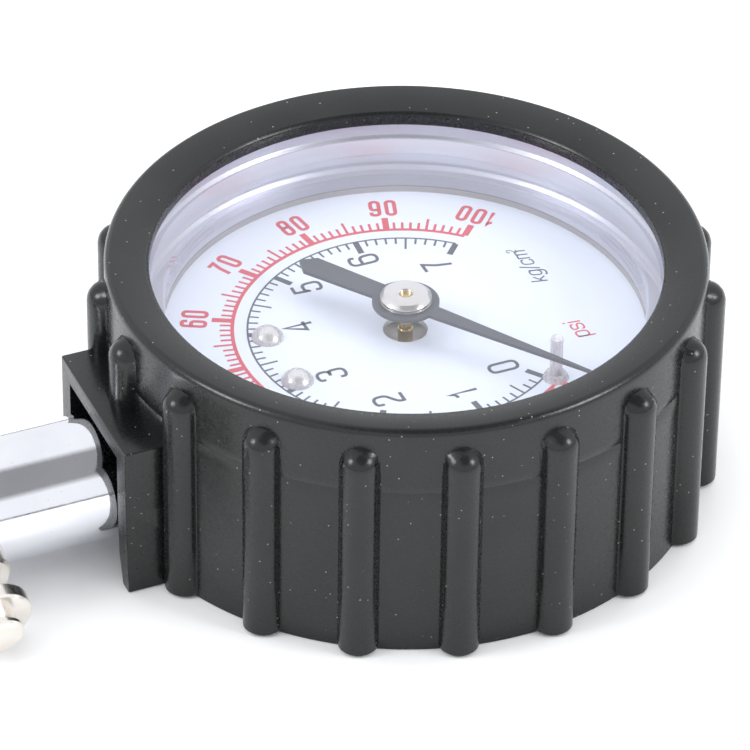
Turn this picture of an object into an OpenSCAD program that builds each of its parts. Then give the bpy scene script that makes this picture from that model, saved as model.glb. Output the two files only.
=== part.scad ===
/* [Boot] */
// Radius of the rubber boot between its grip ribs
boot_r = 28; // [27.6:0.2:29]
// Height from the boot's back to the crest of its rim
boot_h = 24.8; // [24.4:0.2:25.8]
// Radius of the round opening in the boot's rim
opening_r = 23.85; // [23:0.05:24]
// Number of grip ribs round the boot
rib_count = 19; // [12:1:24]
// Width of one grip rib
rib_w = 3.7; // [2.4:0.1:4]
// How far a grip rib stands out of the boot
rib_reach = 1.7; // [0.6:0.1:1.7]
// Angle of the first grip rib, clockwise from the stem
rib_phase = -1.4; // [-9:0.2:9]
// Width of the square collar round the stem
collar_w = 16.6; // [16.6:0.2:17.2]
// Distance from the dial's axis to the collar's end face
collar_end = 31.2; // [30.6:0.2:33]

/* [Dial and pointer] */
// Height of the printed face above the boot's back
dial_z = 15.7; // [15.6:0.1:15.8]
// Height of the pointer above the dial
pointer_lift = 2.95; // [2.85:0.05:3.5]
// Length of the pointer from its axis to its tip
pointer_tip = 20.8; // [18:0.2:21.6]
// Length of the pointer's tail
pointer_tail = 11.75; // [8:0.25:14]
// Where the pointer rests, clockwise from the stem
rest_angle = -124.5; // [-124.5:0.5:-120]
// Where the stop pin stands, clockwise from the stem
stop_angle = -129; // [-131:1:-129]
// Distance of the stop pin from the dial's axis
stop_r = 15.7; // [14:0.1:17]

/* [Stem] */
// Height of the stem's axis above the boot's back
stem_z = 7.5; // [7.4:0.1:7.6]
// Outer diameter of the stem tube
stem_d = 12; // [11.6:0.1:12]
// Distance from the dial's axis to the far end of the stem tube
stem_end = 64; // [62:1:80]
// Distance from the dial's axis to the bleed valve
valve_y = 45.8; // [44:0.2:46.4]
// How far the bleed valve points below the horizontal
valve_tilt = 16; // [0:1:16]
// Angle between the stem and the chuck's head
head_angle = 45; // [20:5:60]

/* [Movement] */
// Module of the pinion and the sector
gear_module = 0.25; // [0.25:0.01:0.25]
// Teeth on the pinion
pinion_teeth = 10; // [10:1:10]
// Teeth on a full circle of the sector's radius
sector_teeth = 80; // [80:2:80]
// Radius of the bent pressure tube at its middle
tube_r = 18.5; // [18.5:0.1:18.6]

/* [Hidden] */
$fn = 96;
eps = 0.01;

// Boot
boot_wall = 2.1;
boot_floor = 1.8;
back_groove_r = 20;
slot_start = 23;
rib_foot = 0.3;
lip_drop = 2.2;
rim_slope = 0.8;
shoulder_r = 0.8;
crest_angle = 75;
collar_side = 2.2;
collar_roof = 1.8;
cavity_r = boot_r - boot_wall;
lip_z = boot_h - lip_drop;
slot_w = collar_w - 2 * collar_side;
slot_h = dial_z - collar_roof;

// Case, lens and dial
gap = 0.05;
case_wall = 0.8;
case_r = cavity_r - gap;
case_inner_r = case_r - case_wall;
case_back = boot_floor + gap;
case_corner = 2;
lens_t = 2;
lens_top = lip_z - gap;
lens_r = case_inner_r - 0.1;
skirt_r = lens_r - 0.35;
skirt_inner_r = 22.6;
gasket_t = 0.6;
dial_t = 0.5;
dial_r = case_inner_r - 0.15;
dial_hole_r = 2.1;
dial_back = dial_z - dial_t;
skirt_bottom = dial_z + gasket_t + gap;
dial_screw_at = [3.65, 12.4];
dial_screw_r = 1.55;
dial_shank_r = 0.8;

// Pointer
pointer_t = 0.35;
tail_point = 1.2;
hub_r = 2.43;
hub_h = 0.84;
stop_pin_r = 0.6;
stop_pin_h = 4.5;
hub_neck_r = 1.2;

// Levels of the movement, from the boot's back
shelf_z = 8;
plate_t = 0.8;
link_z = 10.1;
link_t = 0.5;
sector_z = 10.9;
sector_t = 0.7;
pinion_z = 10.6;
pinion_t = 1.4;
hairspring_z = 12.3;
hairspring_h = 0.6;
top_plate_z = 13.3;
bottom_plate_top = shelf_z + plate_t;
top_plate_top = top_plate_z + plate_t;
screw_head_t = 0.6;

// Gears
pressure_angle = 27;
addendum = 0.8;
dedendum = 1.2;
backlash = 0.05;
flank_steps = 4;
pinion_pitch_r = gear_module * pinion_teeth / 2;
sector_pitch_r = gear_module * sector_teeth / 2;
centre_distance = pinion_pitch_r + sector_pitch_r;
sector_bearing = -40;
sector_at = centre_distance * [cos(sector_bearing), sin(sector_bearing)];
sector_from = 99.5;
sector_to = 149;
pointer_travel = 262;
sector_travel = pointer_travel * pinion_teeth / sector_teeth;

// Linkage
tail_arm = 4.2;
tail_mid_angle = -44;
link_length = 9;
eye_r = 1.1;
pin_r = 0.4;
tail_rest_angle = tail_mid_angle - sector_travel / 2;
tail_at = sector_at + tail_arm * [cos(tail_rest_angle), sin(tail_rest_angle)];
link_rest_angle = 46.5;
tip_at = tail_at + link_length * [cos(link_rest_angle), sin(link_rest_angle)];
pivot_clearance = 0.05;
open_pivot_clearance = 0.3;

// Bourdon tube
tube_h = 5;
tube_w = 2;
tube_wall = 0.3;
tube_start = 102;
tube_end = 340;
cap_angle = 10;
cap_w = 3.6;
root_at = tube_r * [cos(tube_start), sin(tube_start)];
pocket_w = tube_w + 1.5;
pocket_depth = 1.6;

// Socket block
block_w = 13;
block_front = 10.6;
block_back = 24;
block_z = 3.2;
block_top = 11;
post_back = 17;
shelf_w = 9;
shelf_front = 4.2;
shelf_bottom = 4;
shank_r = 4.6;
shank_end = 36;
air_r = 1.2;
cross_air_r = 0.9;

// Plates and pillars
pillar_spots = [[-4.2, 4.6], [-4.8, -3.4], [3, -12.2], [4.2, 4.6]];
bottom_screw_spots = [[-3.1, 8.6], [3.1, 8.6]];
bottom_corners = [[-3.6, 8.6], pillar_spots[1], pillar_spots[2], sector_at, [3.6, 8.6]];
top_corners = [pillar_spots[0], pillar_spots[1], pillar_spots[2], sector_at, pillar_spots[3]];
plate_corner_r = 1.9;
corner_steps = 5;
pillar_r = 1.2;
arbor_r = 0.61;
sector_arbor_r = 0.5;
bearing_gap = 0.04;
small_screw_r = 1;
small_shank_r = 0.5;

// Stem
washer_r = 6;
stem_start = 27;
stem_r = stem_d / 2;
stem_bore_r = 3;
stem_neck_r = 2.2;
spring_shoulder = 50;
thread_seat = shank_end + 0.3;

// Bleed valve, measured outwards from the stem's axis
boss_r = 3.5;
boss_seat = 5.2;
boss_end = 8.4;
insert_r = 2.4;
insert_start = 2.6;
chamber_r = 2.1;
chamber_floor = 5.4;
plunger_r = 0.75;
flange_r = 3.8;
bleed_travel = 1.9;
bleed_stop_gap = 1;
flange_start = boss_end + bleed_travel + bleed_stop_gap;
flange_end = 13;
nub_r = 2.4;
nub_end = 14.9;

// Check valve, measured along the stem
poppet_r = 2.6;
poppet_start = 55.4;
poppet_seat = 57.4;

// Swivel and chuck
nipple_r = 3.4;
nipple_end = stem_end + 11.2;
nipple_flange = 2;
oring_at = stem_end + 5;
oring_r = 0.58;
groove_r = 2.2;
clip_at = nipple_end - 1.4;
clip_t = 0.6;
swivel_gap = 0.05;
elbow_at = stem_end + 14;
barrel_r = 6.6;
knuckle_r = 7.4;
neck_r = 6.2;
head_r = 7.3;
neck_end = 8.5;
head_length = 20;
head_bore_r = 5.6;
chuck_air_r = 1.5;
elbow_pocket_r = 2.1;
head_bore_floor = 9;
mouth_r = 4.05;
nose_r = 7.4;
nose_length = 3;
seal_hole_r = 1.9;
seal_t = 3;
nose_inset = 4;
flute_count = 24;

// Where the head's pieces lie, measured along the head from the elbow
nose_tip = head_length + nose_length;
nose_back = head_length - nose_inset;
seal_back = nose_back - seal_t;

function arc(centre, r, from, to, steps) =
    [for (i = [0:steps]) let (a = from + (to - from) * i / steps) centre + r * [cos(a), sin(a)]];

function bearing(clockwise) = [sin(clockwise), cos(clockwise)];

function side_angle(a, b) = atan2(b[1] - a[1], b[0] - a[0]);

// The outline of a convex plate whose corners, given counter-clockwise, are rounded to radius r
function rounded_outline(corners, r) =
    let (last = len(corners) - 1)
    [for (i = [0:last])
        let (
            before = corners[(i + last) % (last + 1)],
            after = corners[(i + 1) % (last + 1)],
            from = side_angle(before, corners[i]) - 90,
            turn = (side_angle(corners[i], after) - side_angle(before, corners[i]) + 360) % 360
        )
        each arc(corners[i], r, from, from + turn, corner_steps)];

function involute(r, base_r) = r <= base_r
    ? 0
    : let (a = acos(base_r / r)) tan(a) * 180 / PI - a;

// Half of a tooth's angular width at radius r
function half_tooth(r, teeth, pitch_r, base_r) =
    90 / teeth - backlash / pitch_r * 90 / PI + involute(pitch_r, base_r) - involute(r, base_r);

// One tooth's outline, centred on angle middle, from its left root to its right root
function tooth(middle, teeth, pitch_r) =
    let (
        base_r = pitch_r * cos(pressure_angle),
        root_r = pitch_r - dedendum * gear_module,
        tip_r = pitch_r + addendum * gear_module,
        radii = [for (i = [0:flank_steps]) root_r + (tip_r - root_r) * i / flank_steps]
    )
    concat(
        [for (r = radii)
            let (a = middle - half_tooth(r, teeth, pitch_r, base_r)) r * [cos(a), sin(a)]],
        [for (i = [flank_steps:-1:0])
            let (r = radii[i], a = middle + half_tooth(r, teeth, pitch_r, base_r))
            r * [cos(a), sin(a)]]
    );

// Moves children to a point on the stem's axis and turns their Z along the stem
module along_stem(y) {
    translate([0, y, stem_z]) rotate([-90, 0, 0]) children();
}

// Turns children's Z outwards along the bleed valve
module along_valve() {
    translate([0, valve_y, stem_z]) rotate([0, -90 - valve_tilt, 0]) children();
}

// Turns children's Z outwards along the chuck's head
module along_head() {
    translate([0, elbow_at, stem_z]) rotate([0, 0, -head_angle]) rotate([-90, 0, 0]) children();
}

// Moves children to the elbow and turns their X to the outside of the bend
module at_elbow() {
    translate([0, elbow_at, stem_z]) rotate([0, 0, 180 - head_angle / 2]) children();
}

module tube(r_out, r_in, h) {
    difference() {
        cylinder(r = r_out, h = h);
        translate([0, 0, -1]) cylinder(r = r_in, h = h + 2);
    }
}

// A helical spring of round wire, standing on Z = 0
module coil_spring(coil_r, wire_r, length, turns) {
    sides = 6;
    per_turn = 18;
    rings = turns * per_turn;
    rise = length - 2 * wire_r;
    points = [for (i = [0:rings], j = [0:sides - 1])
        let (a = i * 360 / per_turn, b = j * 360 / sides, r = coil_r + wire_r * cos(b))
        [r * cos(a), r * sin(a), wire_r + rise * i / rings + wire_r * sin(b)]];
    walls = [for (i = [0:rings - 1], j = [0:sides - 1])
        let (k = (j + 1) % sides)
        [i * sides + j, i * sides + k, (i + 1) * sides + k, (i + 1) * sides + j]];
    start = [for (j = [sides - 1:-1:0]) j];
    finish = [for (j = [0:sides - 1]) rings * sides + j];
    polyhedron(points = points, faces = concat([start], walls, [finish]));
}

// A domed screw, standing with the underside of its head on Z = 0
module dome_screw(head_r, head_h, shank_r, shank_l) {
    ball_r = (head_r * head_r + head_h * head_h) / (2 * head_h);
    rotate_extrude()
        polygon(concat(
            [[0, -shank_l], [shank_r, -shank_l], [shank_r, 0], [head_r, 0]],
            arc([0, head_h - ball_r], ball_r, asin((ball_r - head_h) / ball_r), 90, 6)
        ));
}

// A cheese-head screw with a slot, standing with the underside of its head on Z = 0
module slotted_screw(head_r, head_h, shank_r, shank_l) {
    difference() {
        union() {
            cylinder(r = head_r, h = head_h);
            translate([0, 0, -shank_l]) cylinder(r = shank_r, h = shank_l + eps);
        }
        translate([-head_r - 1, -0.15, head_h / 2]) cube([2 * head_r + 2, 0.3, head_h]);
    }
}

module boot_rib() {
    rib_r = rib_w / 2;
    rib_top = lip_z - rib_r;
    translate([0, boot_r + rib_reach - rib_r, 0]) {
        cylinder(r1 = rib_r - rib_foot, r2 = rib_r, h = rib_foot);
        translate([0, 0, rib_foot]) cylinder(r = rib_r, h = rib_top - rib_foot);
        translate([0, 0, rib_top]) sphere(r = rib_r);
    }
}

module rubber_boot() {
    shoulder = [boot_r - shoulder_r, boot_h - shoulder_r];
    color([0.05, 0.05, 0.055])
    difference() {
        union() {
            rotate_extrude()
                polygon(concat(
                    [[0, 0], [back_groove_r - 1, 0], [back_groove_r - 1, 0.4],
                     [back_groove_r + 1, 0.4], [back_groove_r + 1, 0],
                     [boot_r - 0.4, 0], [boot_r, 0.4]],
                    arc(shoulder, shoulder_r, 0, crest_angle, 5),
                    [[opening_r + 0.3, boot_h - rim_slope],
                     [opening_r, boot_h - rim_slope - 0.3],
                     [opening_r, lip_z], [0, lip_z]]
                ));
            for (i = [0:rib_count - 1]) rotate([0, 0, -rib_phase - i * 360 / rib_count]) boot_rib();
            translate([-collar_w / 2, cavity_r - 1, 0]) cube([collar_w, collar_end - cavity_r + 1, dial_z]);
        }
        translate([0, 0, boot_floor]) cylinder(r = cavity_r, h = lip_z - boot_floor);
        translate([0, 0, lip_z - 1]) cylinder(r = opening_r, h = lip_drop + 2);
        translate([-slot_w / 2, slot_start, -1]) cube([slot_w, boot_r, slot_h + 1]);
    }
}

module case_cup() {
    color([0.75, 0.75, 0.76])
    difference() {
        rotate_extrude()
            polygon(concat(
                [[0, case_back]],
                arc([case_r - case_corner, case_back + case_corner], case_corner, -90, 0, 4),
                [[case_r, lens_top], [case_inner_r, lens_top]],
                arc([case_r - case_corner, case_back + case_corner], case_corner - case_wall, 0, -90, 4),
                [[0, case_back + case_wall]]
            ));
        along_stem(block_back) cylinder(r = shank_r + gap, h = 5);
    }
}

module lens() {
    color([0.85, 0.9, 0.95, 0.35])
    rotate_extrude()
        polygon([
            [0, lens_top - lens_t], [skirt_inner_r - 0.4, lens_top - lens_t],
            [skirt_inner_r, lens_top - lens_t - 0.4],
            [skirt_inner_r, skirt_bottom + 2.4], [skirt_inner_r - 0.25, skirt_bottom + 2.1],
            [skirt_inner_r, skirt_bottom + 1.8], [skirt_inner_r, skirt_bottom + 1.3],
            [skirt_inner_r - 0.25, skirt_bottom + 1], [skirt_inner_r, skirt_bottom + 0.7],
            [skirt_inner_r, skirt_bottom], [skirt_r, skirt_bottom],
            [skirt_r, skirt_bottom + 0.6], [lens_r, skirt_bottom + 1], [skirt_r, skirt_bottom + 1.6],
            [skirt_r, lens_top - lens_t], [lens_r, lens_top - lens_t + 0.3],
            [lens_r, lens_top - 0.4], [lens_r - 0.4, lens_top], [0, lens_top]
        ]);
}

module lens_gasket() {
    color([0.15, 0.1, 0.08])
    translate([0, 0, dial_z]) tube(dial_r, skirt_inner_r, gasket_t);
}

module dial_plate() {
    color([0.93, 0.95, 1])
    difference() {
        translate([0, 0, dial_back]) cylinder(r = dial_r, h = dial_t);
        translate([0, 0, dial_back - 1]) cylinder(r = dial_hole_r, h = dial_t + 2);
        for (side = [-1, 1])
            translate([side * dial_screw_at[0], dial_screw_at[1], dial_back - 1])
                cylinder(r = dial_shank_r, h = dial_t + 2);
        translate(concat(stop_r * bearing(stop_angle), [dial_back - 1]))
            cylinder(r = stop_pin_r, h = dial_t + 2);
    }
}

module dial_screws() {
    color([0.85, 0.85, 0.85])
    for (side = [-1, 1])
        translate([side * dial_screw_at[0], dial_screw_at[1], dial_z])
            dome_screw(dial_screw_r, 1.1, dial_shank_r, 3);
}

module stop_pin() {
    color([0.9, 0.93, 0.97, 0.5])
    translate(concat(stop_r * bearing(stop_angle), [0])) {
        translate([0, 0, dial_back - 0.3]) cylinder(r = stop_pin_r, h = dial_t + 0.3 + stop_pin_h);
        translate([0, 0, dial_z]) cylinder(r1 = 1.25, r2 = 1, h = 0.5);
    }
}

module socket_block() {
    color([0.75, 0.62, 0.35])
    difference() {
        union() {
            translate([-block_w / 2, post_back - 4, block_z])
                cube([block_w, block_back - post_back + 4, block_top - block_z]);
            translate([-block_w / 2, block_front, block_z])
                cube([block_w, post_back - block_front, dial_back - block_z]);
            translate([-shelf_w / 2, shelf_front, shelf_bottom])
                cube([shelf_w, block_front - shelf_front + eps, shelf_z - shelf_bottom]);
            along_stem(block_back - 1) cylinder(r = shank_r, h = shank_end - block_back + 1);
        }
        along_stem(root_at[1] - air_r) cylinder(r = air_r, h = shank_end);
        translate(concat(root_at, [stem_z])) rotate([0, 90, 0]) cylinder(r = cross_air_r, h = -root_at[0]);
        translate(concat(root_at, [stem_z - tube_h / 2 - gap])) rotate([0, 0, tube_start])
            translate([-pocket_w / 2, -pocket_depth / 2, 0]) cube([pocket_w, 12, tube_h + 2 * gap]);
        for (side = [-1, 1])
            translate([side * dial_screw_at[0], dial_screw_at[1], dial_back - 4])
                cylinder(r = dial_shank_r, h = 5);
        for (spot = bottom_screw_spots)
            translate(concat(spot, [shelf_z - 2.5])) cylinder(r = small_shank_r, h = 3);
    }
}

module sealing_washer() {
    color([0.45, 0.2, 0.15])
    along_stem(case_r + gap) tube(washer_r, shank_r + gap, stem_start - case_r - 2 * gap);
}

module tube_section(inset) {
    r = tube_w / 2 - inset;
    flat = tube_h / 2 - tube_w / 2;
    translate([tube_r, stem_z]) {
        square([2 * r, 2 * flat], center = true);
        for (side = [-1, 1]) translate([0, side * flat]) circle(r = r);
    }
}

module bourdon_tube() {
    color([0.7, 0.6, 0.4])
    difference() {
        rotate([0, 0, tube_start]) rotate_extrude(angle = tube_end - tube_start) tube_section(0);
        rotate([0, 0, tube_start - 1]) rotate_extrude(angle = tube_end - tube_start + 2)
            tube_section(tube_wall);
    }
}

module tube_tip_cap() {
    color([0.75, 0.62, 0.35])
    difference() {
        rotate([0, 0, tube_end + 0.1]) rotate_extrude(angle = cap_angle)
            translate([tube_r - cap_w / 2, stem_z - tube_h / 2]) square([cap_w, tube_h]);
        translate(concat(tip_at, [stem_z])) cylinder(r = pin_r, h = tube_h);
    }
}

module tip_pin() {
    color([0.8, 0.8, 0.8])
    translate(concat(tip_at, [stem_z])) cylinder(r = pin_r, h = link_z + link_t + 0.15 - stem_z);
}

module movement_bottom_plate() {
    color([0.78, 0.7, 0.45])
    difference() {
        translate([0, 0, shelf_z]) linear_extrude(height = plate_t)
            polygon(rounded_outline(bottom_corners, plate_corner_r));
        translate([0, 0, shelf_z - 1]) cylinder(r = arbor_r + bearing_gap, h = plate_t + 2);
        translate(concat(sector_at, [shelf_z - 1]))
            cylinder(r = sector_arbor_r + bearing_gap, h = plate_t + 2);
        for (spot = bottom_screw_spots)
            translate(concat(spot, [shelf_z - 1])) cylinder(r = small_shank_r, h = plate_t + 2);
    }
}

module movement_top_plate() {
    color([0.8, 0.8, 0.78])
    difference() {
        translate([0, 0, top_plate_z]) linear_extrude(height = plate_t)
            polygon(rounded_outline(top_corners, plate_corner_r));
        translate([0, 0, top_plate_z - 1]) cylinder(r = arbor_r + bearing_gap, h = plate_t + 2);
        translate(concat(sector_at, [top_plate_z - 1]))
            cylinder(r = sector_arbor_r + bearing_gap, h = plate_t + 2);
        for (spot = pillar_spots)
            translate(concat(spot, [top_plate_z - 1])) cylinder(r = small_shank_r, h = plate_t + 2);
    }
}

module movement_pillars() {
    color([0.75, 0.62, 0.35])
    for (spot = pillar_spots)
        translate(concat(spot, [bottom_plate_top]))
            difference() {
                cylinder(r = pillar_r, h = top_plate_z - bottom_plate_top);
                translate([0, 0, 2]) cylinder(r = small_shank_r, h = top_plate_z);
            }
}

module plate_screws() {
    color([0.7, 0.7, 0.72])
    for (spot = pillar_spots)
        translate(concat(spot, [top_plate_top]))
            slotted_screw(small_screw_r, screw_head_t, small_shank_r, 2.2);
}

module bottom_screws() {
    color([0.7, 0.7, 0.72])
    for (spot = bottom_screw_spots)
        translate(concat(spot, [bottom_plate_top]))
            slotted_screw(small_screw_r, screw_head_t, small_shank_r, 3);
}

module sector_gear() {
    pitch = 360 / sector_teeth;
    web_r = sector_pitch_r - dedendum * gear_module + eps;
    count = round((sector_to - sector_from) / pitch);
    color([0.8, 0.7, 0.4])
    translate(concat(sector_at, [sector_z]))
    difference() {
        linear_extrude(height = sector_t) {
            polygon(concat(
                [[0, 0]],
                [for (i = [0:count]) let (a = sector_from + i * pitch) web_r * [cos(a), sin(a)]]
            ));
            for (i = [0:count - 1])
                polygon(tooth(sector_from + (i + 0.5) * pitch, sector_teeth, sector_pitch_r));
            circle(r = 2.2);
            rotate([0, 0, tail_rest_angle]) translate([0, -eye_r]) square([tail_arm, 2 * eye_r]);
            translate(tail_at - sector_at) circle(r = eye_r);
        }
        translate([0, 0, -1]) cylinder(r = sector_arbor_r, h = sector_t + 2);
        translate(concat(tail_at - sector_at, [-1])) cylinder(r = pin_r, h = sector_t + 2);
    }
}

module sector_arbor() {
    color([0.7, 0.7, 0.72])
    translate(concat(sector_at, [0])) {
        translate([0, 0, shelf_z + 0.1])
            cylinder(r = sector_arbor_r, h = top_plate_top - shelf_z - 0.2);
        translate([0, 0, bottom_plate_top + 0.2])
            cylinder(r = 0.9, h = sector_z - bottom_plate_top - 0.2);
    }
}

module sector_pin() {
    color([0.7, 0.7, 0.72])
    translate(concat(tail_at, [link_z - 0.1])) cylinder(r = pin_r, h = sector_z + sector_t - link_z + 0.1);
}

module link() {
    side = tip_at - tail_at;
    color([0.78, 0.78, 0.8])
    translate(concat(tail_at, [link_z])) rotate([0, 0, link_rest_angle])
    difference() {
        linear_extrude(height = link_t) {
            translate([0, -0.8]) square([norm(side), 1.6]);
            for (x = [0, norm(side)]) translate([x, 0]) circle(r = eye_r);
        }
        translate([0, 0, -1]) cylinder(r = pin_r + pivot_clearance, h = link_t + 2);
        translate([norm(side), 0, -1]) cylinder(r = pin_r + open_pivot_clearance, h = link_t + 2);
    }
}

module pinion_arbor() {
    core_r = pinion_pitch_r - dedendum * gear_module + eps;
    pitch = 360 / pinion_teeth;
    color([0.78, 0.65, 0.35]) {
        translate([0, 0, shelf_z + 0.1]) cylinder(r = arbor_r, h = pinion_z - shelf_z);
        translate([0, 0, pinion_z]) linear_extrude(height = pinion_t) {
            circle(r = core_r);
            for (i = [0:pinion_teeth - 1])
                polygon(tooth(sector_bearing + i * pitch, pinion_teeth, pinion_pitch_r));
        }
        translate([0, 0, pinion_z + pinion_t - eps])
            cylinder(r = arbor_r, h = dial_z + pointer_lift + hub_h - pinion_z - pinion_t);
        translate([0, 0, top_plate_top + 0.2]) cylinder(r = 0.72, h = 1.6);
    }
}

module hairspring() {
    turns = 4.25;
    per_turn = 24;
    strip = 0.12;
    inner_r = 1.4;
    spacing = 0.72;
    last = turns * per_turn;
    radii = [for (i = [0:last]) inner_r + spacing * i / per_turn];
    color([0.5, 0.5, 0.6])
    translate([0, 0, hairspring_z])
    linear_extrude(height = hairspring_h)
        polygon(concat(
            [for (i = [0:last])
                let (a = i * 360 / per_turn) radii[i] * [cos(a), sin(a)]],
            [for (i = [last:-1:0])
                let (a = i * 360 / per_turn) (radii[i] + strip) * [cos(a), sin(a)]]
        ));
}

module hairspring_collet() {
    color([0.8, 0.7, 0.4])
    translate([0, 0, hairspring_z - 0.1]) tube(1.25, arbor_r, hairspring_h + 0.15);
}

module hairspring_stud() {
    color([0.8, 0.7, 0.4])
    translate([0, 5, hairspring_z]) cylinder(r = 0.4, h = top_plate_z - hairspring_z);
}

module pointer() {
    color([0.13, 0.14, 0.17])
    rotate([0, 0, -rest_angle])
    translate([0, 0, dial_z + pointer_lift])
    difference() {
        union() {
            cylinder(r = 3.15, h = pointer_t);
            linear_extrude(height = pointer_t) polygon([
                [-0.85, 2], [-0.36, 14], [-0.05, pointer_tip],
                [0.05, pointer_tip], [0.36, 14], [0.85, 2],
                [1.05, -2], [1.25, tail_point - pointer_tail], [0.1, -pointer_tail],
                [-0.1, -pointer_tail], [-1.25, tail_point - pointer_tail], [-1.05, -2]
            ]);
        }
        translate([0, 0, -1]) cylinder(r = hub_neck_r, h = 3);
    }
}

module pointer_hub() {
    under = dial_z + pointer_lift;
    top = under + pointer_t;
    color([0.85, 0.84, 0.8])
    rotate_extrude()
        polygon([
            [arbor_r, under - 1], [1.5, under - 1], [1.7, under - 0.8], [1.7, under],
            [hub_neck_r, under], [hub_neck_r, top],
            [hub_r - 0.13, top], [hub_r, top + 0.12], [hub_r, top + 0.5],
            [hub_r - 0.38, top + hub_h], [arbor_r, top + hub_h]
        ]);
}

module stem_tube() {
    color([0.85, 0.86, 0.88])
    difference() {
        along_stem(stem_start)
            rotate_extrude()
                polygon([
                    [0, 0], [stem_r - 0.4, 0], [stem_r, 0.4],
                    [stem_r, stem_end - stem_start - 0.4], [stem_r - 0.4, stem_end - stem_start],
                    [0, stem_end - stem_start]
                ]);
        along_stem(stem_start - 1) cylinder(r = shank_r, h = thread_seat - stem_start + 1);
        along_stem(stem_start) cylinder(r = stem_neck_r, h = stem_end);
        along_stem(spring_shoulder) cylinder(r = stem_bore_r, h = stem_end);
        along_valve() cylinder(r = insert_r, h = stem_d);
        along_valve() translate([0, 0, boss_seat]) cylinder(r = boss_r, h = stem_d);
    }
}

module bleed_valve_body() {
    color([0.72, 0.7, 0.65])
    along_valve()
    difference() {
        union() {
            translate([0, 0, insert_start]) cylinder(r = insert_r, h = boss_seat - insert_start + eps);
            translate([0, 0, boss_seat])
                rotate_extrude()
                    polygon([
                        [0, 0], [boss_r, 0], [boss_r, boss_end - boss_seat - 0.3],
                        [boss_r - 0.3, boss_end - boss_seat], [0, boss_end - boss_seat]
                    ]);
        }
        cylinder(r = plunger_r + gap, h = boss_end + 1);
        translate([0, 0, chamber_floor]) cylinder(r = chamber_r, h = boss_end);
    }
}

module bleed_button() {
    color([0.78, 0.76, 0.72])
    along_valve()
    difference() {
        translate([0, 0, flange_start])
            rotate_extrude()
                polygon([
                    [0, 0], [flange_r - 0.3, 0], [flange_r, 0.3],
                    [flange_r, flange_end - flange_start - 0.2],
                    [flange_r - 0.2, flange_end - flange_start],
                    [nub_r - 0.25, flange_end - flange_start],
                    [nub_r - 0.25, nub_end - flange_start - 0.7],
                    [nub_r, nub_end - flange_start - 0.55],
                    [nub_r, nub_end - flange_start - 0.2],
                    [nub_r - 0.2, nub_end - flange_start], [0, nub_end - flange_start]
                ]);
        cylinder(r = plunger_r, h = flange_start + 1.2);
    }
}

module bleed_plunger() {
    color([0.75, 0.62, 0.35])
    along_valve() {
        translate([0, 0, 1.2]) cylinder(r = plunger_r, h = flange_start);
        translate([0, 0, 1.2]) cylinder(r = 1.5, h = 0.4);
    }
}

module bleed_seal() {
    color([0.1, 0.1, 0.1])
    along_valve() translate([0, 0, 1.6]) tube(1.7, plunger_r, insert_start - 1.6 - gap);
}

module bleed_spring() {
    wire = 0.22;
    color([0.7, 0.7, 0.72])
    along_valve() translate([0, 0, chamber_floor + gap])
        coil_spring(1.5, wire, flange_start - chamber_floor - 2 * gap, 6);
}

module check_poppet() {
    color([0.75, 0.62, 0.35])
    along_stem(poppet_start)
        rotate_extrude()
            polygon([
                [0, 0], [1.2, 0], [1.2, 0.8], [poppet_r, 0.8], [poppet_r, 1.7],
                [poppet_r - 0.25, poppet_seat - poppet_start - gap],
                [0, poppet_seat - poppet_start - gap]
            ]);
}

module check_spring() {
    color([0.7, 0.7, 0.72])
    along_stem(spring_shoulder + gap)
        coil_spring(2.2, 0.22, poppet_start + 0.8 - spring_shoulder - 2 * gap, 6);
}

module swivel_nipple() {
    color([0.8, 0.79, 0.75])
    difference() {
        along_stem(poppet_seat)
            rotate_extrude()
                polygon([
                    [0, 0], [stem_bore_r, 0], [stem_bore_r, stem_end - poppet_seat],
                    [stem_r - 0.3, stem_end - poppet_seat],
                    [stem_r, stem_end - poppet_seat + 0.3],
                    [stem_r, stem_end - poppet_seat + nipple_flange],
                    [nipple_r, stem_end - poppet_seat + nipple_flange],
                    [nipple_r, nipple_end - poppet_seat - 0.3],
                    [nipple_r - 0.3, nipple_end - poppet_seat], [0, nipple_end - poppet_seat]
                ]);
        along_stem(poppet_seat - 1) cylinder(r = air_r, h = stem_end);
        along_stem(oring_at) tube(nipple_r + 1, groove_r, 1.3);
        along_stem(clip_at) tube(nipple_r + 1, groove_r + 0.7, clip_t);
    }
}

module swivel_oring() {
    color([0.08, 0.08, 0.08])
    along_stem(oring_at + 0.65)
        rotate_extrude() translate([groove_r + oring_r, 0]) circle(r = oring_r);
}

module swivel_clip() {
    color([0.6, 0.6, 0.62])
    difference() {
        along_stem(clip_at + gap) tube(4.2, groove_r + 0.7, clip_t - 2 * gap);
        translate([-1.5, clip_at - 1, stem_z]) cube([3, 3, 5]);
    }
}

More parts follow.
